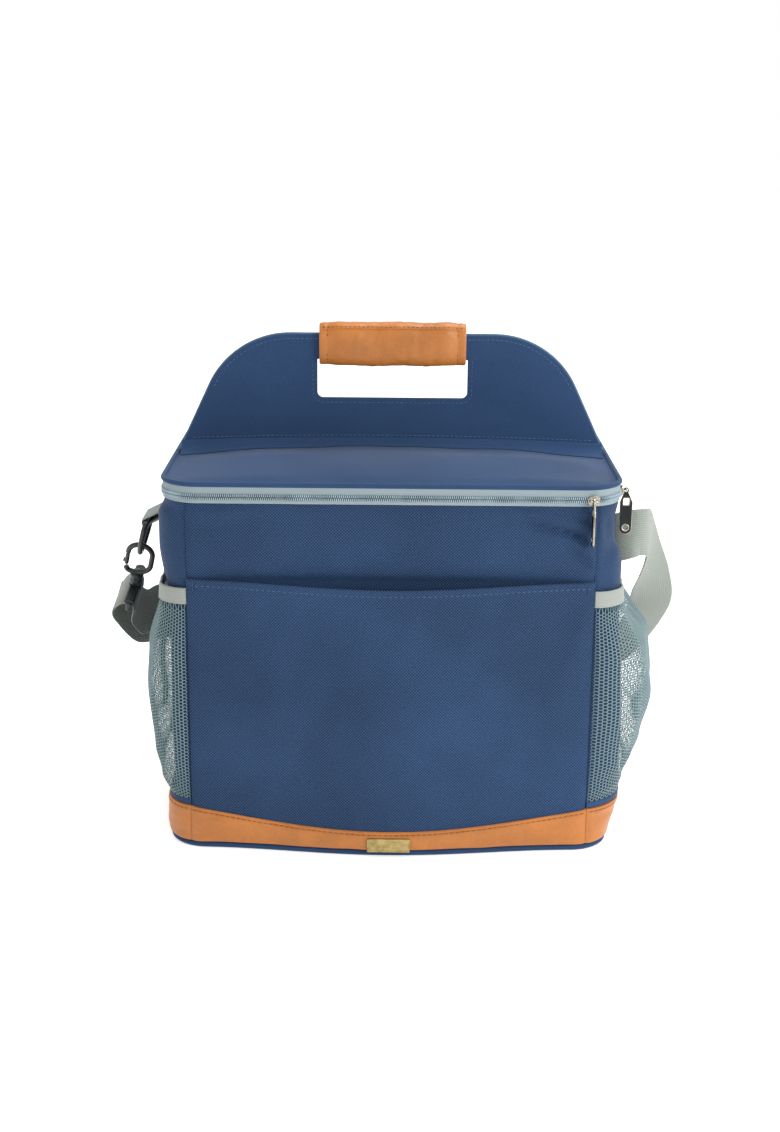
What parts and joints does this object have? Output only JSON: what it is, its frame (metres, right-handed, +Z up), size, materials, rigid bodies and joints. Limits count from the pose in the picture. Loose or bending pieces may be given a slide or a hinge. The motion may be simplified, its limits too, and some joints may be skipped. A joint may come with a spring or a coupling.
{
  "type": "insulated cooler bag",
  "caption": "Soft-sided insulated cooler bag with a zipped lid, fold-down carry handle panel, front pocket, mesh side pockets and a clip-on shoulder strap.",
  "frame": {"origin": "centre of the flat underside of the bag", "axes": "+Z up, -Y towards the front pocket, +X to the bag's right as seen from the front"},
  "size_m": [0.4696, 0.3199, 0.3945],
  "materials": {
    "navy_fabric": "coarse woven polyester, matte",
    "tan_leather": "smooth semi-gloss imitation leather, topstitched",
    "net": "open hexagonal knitted net",
    "elastic": "ribbed elastic binding",
    "zip_tape": "fine woven tape",
    "zip_coil": "nylon coil",
    "webbing": "ribbed flat webbing",
    "lining": "heat-sealed silvery lining, satin",
    "foam": "closed-cell foam, matte",
    "stiffener": "plain sheet",
    "brass": "antique, brushed",
    "nickel": "aged nickel plate",
    "black_enamel": "gloss black over nickel",
    "black_plastic": "moulded acetal, satin"
  },
  "bodies": {
    "bag": {"front_panel": "navy_fabric", "back_panel": "navy_fabric", "side_panel_left": "navy_fabric", "side_panel_right": "navy_fabric", "bottom_panel": "navy_fabric", "base_piping": "navy_fabric", "base_board": "stiffener", "foam_front": "foam", "foam_back": "foam", "foam_left": "foam", "foam_right": "foam", "foam_bottom": "foam", "liner_tub": "lining", "front_pocket_panel": "navy_fabric", "trim_band_front": "tan_leather", "trim_band_right": "tan_leather", "trim_band_back": "tan_leather", "trim_band_left": "tan_leather", "badge_plate": "brass", "side_pocket_net_left": "net", "side_pocket_net_right": "net", "side_pocket_binding_left": "elastic", "side_pocket_binding_right": "elastic", "zip_tape_lower": "zip_tape", "zip_coil_lower": "zip_coil", "lid_hinge_strip": "navy_fabric", "strap_tab_left": "webbing", "strap_end_patch": "webbing", "shoulder_strap": "webbing", "hook_swivel_base": "black_plastic"},
    "lid": {"zip_coil_upper": "zip_coil", "zip_tape_upper": "zip_tape", "lid_top_panel": "navy_fabric", "lid_foam": "foam", "lid_liner": "lining", "lid_piping": "navy_fabric", "handle_base_strip": "navy_fabric"},
    "handle": {"handle_board": "stiffener", "handle_face_front": "navy_fabric", "handle_face_back": "navy_fabric", "grip_leather": "tan_leather", "grip_padding": "foam"},
    "front_slider": {"zip_slider_front": "nickel"},
    "front_pull": {"zip_pull_front": "nickel"},
    "side_slider": {"zip_slider_side": "nickel"},
    "side_pull": {"zip_pull_side": "black_enamel"},
    "ring": {"d_ring": "black_plastic"},
    "hook": {"snap_hook": "black_plastic"},
    "gate": {"hook_gate": "black_plastic"},
    "adjuster": {"strap_adjuster": "black_plastic"}
  },
  "joints": [
    {"name": "lid_hinge", "type": "hinge", "parent": "bag", "child": "lid", "pos_m": [0, 0.1112, 0.2804], "axis": [-1, 0, 0], "range_deg": [0, 105]},
    {"name": "handle_fold", "type": "hinge", "parent": "lid", "child": "handle", "pos_m": [0, 0, 0.2945], "axis": [-1, 0, 0], "range_deg": [-72, 72], "stiffness_Nm_per_rad": 0.4},
    {"name": "front_slider_run", "type": "slide", "parent": "bag", "child": "front_slider", "axis": [-1, 0, 0], "range_m": [0, 0.28]},
    {"name": "front_pull_swing", "type": "hinge", "parent": "front_slider", "child": "front_pull", "pos_m": [0.148, -0.1163, 0.281], "axis": [-1, 0, 0], "range_deg": [0, 140]},
    {"name": "side_slider_run", "type": "slide", "parent": "bag", "child": "side_slider", "axis": [0, 1, 0], "range_m": [0, 0.15]},
    {"name": "side_pull_swing", "type": "hinge", "parent": "side_slider", "child": "side_pull", "pos_m": [0.1763, -0.0785, 0.281], "axis": [0, -1, 0], "range_deg": [0, 140]},
    {"name": "ring_swing", "type": "hinge", "parent": "bag", "child": "ring", "pos_m": [-0.193, -0.01, 0.2385], "axis": [0, 1, 0], "range_deg": [-6, 6]},
    {"name": "hook_swivel", "type": "hinge", "parent": "bag", "child": "hook", "pos_m": [-0.20907, 0.00745, 0.17714], "axis": [-0.221, 0.4521, -0.8642], "range_deg": [-25, 25]},
    {"name": "gate_hinge", "type": "hinge", "parent": "hook", "child": "gate", "pos_m": [-0.21379, -0.00229, 0.19825], "axis": [0.1145, 0.892, 0.4374], "range_deg": [0, 14], "stiffness_Nm_per_rad": 0.01},
    {"name": "adjuster_slide", "type": "slide", "parent": "bag", "child": "adjuster", "axis": [-0.7836, -0.1507, 0.6028], "range_m": [-0.012, 0.012]}
  ]
}
